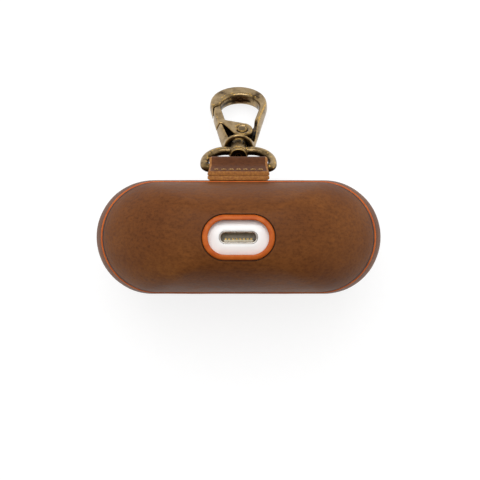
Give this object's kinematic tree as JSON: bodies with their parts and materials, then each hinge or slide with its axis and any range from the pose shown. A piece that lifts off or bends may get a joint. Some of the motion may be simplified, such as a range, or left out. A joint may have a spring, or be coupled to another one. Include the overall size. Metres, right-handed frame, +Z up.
{
  "type": "earbud case cover with swivel hook",
  "caption": "Leather cover round a charging case for earbuds, with a hinged lid, a port cut-out, and a sewn tab that holds a swivel snap hook.",
  "frame": {"origin": "centre of the lid's flat outer face, which the closed case stands on", "axes": "+X along the case's length, +Y towards the hinge and the hook, +Z up, out of the charging port's face"},
  "size_m": [0.0648, 0.049, 0.0492],
  "materials": {
    "brown_leather": "oiled pull-up leather, fine grain",
    "orange_edge": "satin orange, as a dyed edge",
    "thread": "waxed thread",
    "white_plastic": "gloss white",
    "white_satin_plastic": "satin white",
    "gold_plate": "gold plated",
    "hinge_steel": "brushed",
    "socket_steel": "drawn, bright edges",
    "black_plastic": "moulded black",
    "socket_moulding": "grey-brown glass-filled moulding",
    "board": "solder mask",
    "cell_wrap": "foil pouch",
    "magnet_plate": "nickel plated",
    "clear_plastic": "clear, polished",
    "antique_brass": "antiqued and rubbed back on the edges",
    "spring_steel": "drawn wire"
  },
  "bodies": {
    "base": {"port_cup_leather": "brown_leather", "middle_band_leather": "brown_leather", "base_shell": "orange_edge", "port_trim": "orange_edge", "tab_leather": "brown_leather", "tab_stitches": "thread", "case_body": "white_plastic", "earbud_dock": "white_satin_plastic", "charging_pins": "gold_plate", "hinge_leaf_base": "hinge_steel", "hinge_pin": "hinge_steel", "port_surround": "socket_steel", "port_insulator": "socket_moulding", "port_contacts": "gold_plate", "circuit_board": "board", "battery": "cell_wrap", "base_magnet": "magnet_plate", "status_light": "clear_plastic", "setup_switch": "black_plastic"},
    "lid": {"lid_cover_leather": "brown_leather", "lid_shell": "orange_edge", "case_lid": "white_plastic", "lid_liner": "white_satin_plastic", "hinge_leaf_lid": "hinge_steel", "lid_magnet": "magnet_plate"},
    "button": {"setup_button": "white_plastic"},
    "ring": {"swivel_ring": "antique_brass"},
    "hook": {"hook_body": "antique_brass", "swivel_post": "antique_brass", "gate_rivet": "antique_brass", "gate_spring": "spring_steel"},
    "gate_lever": {"gate": "antique_brass"}
  },
  "joints": [
    {"name": "lid_hinge", "type": "hinge", "parent": "base", "child": "lid", "pos_m": [0, 0.01105, 0.0165], "axis": [1, 0, 0], "range_deg": [0, 75]},
    {"name": "ring_swing", "type": "hinge", "parent": "base", "child": "ring", "pos_m": [0, 0.01575, 0.027], "axis": [1, 0, 0], "range_deg": [-22, 102]},
    {"name": "hook_swivel", "type": "hinge", "parent": "ring", "child": "hook", "pos_m": [0, 0.02173, 0.01898], "axis": [0, 0.5976, -0.8018], "continuous": true},
    {"name": "gate_turn", "type": "hinge", "parent": "hook", "child": "gate_lever", "pos_m": [0.00085, 0.02406, 0.01586], "axis": [0, -0.8018, -0.5976], "range_deg": [0, 25], "stiffness_Nm_per_rad": 0.004, "springref_deg": -20.05},
    {"name": "button_press", "type": "slide", "parent": "base", "child": "button", "axis": [0, -1, 0], "range_m": [0, 0.0003], "stiffness_N_per_m": 800}
  ]
}
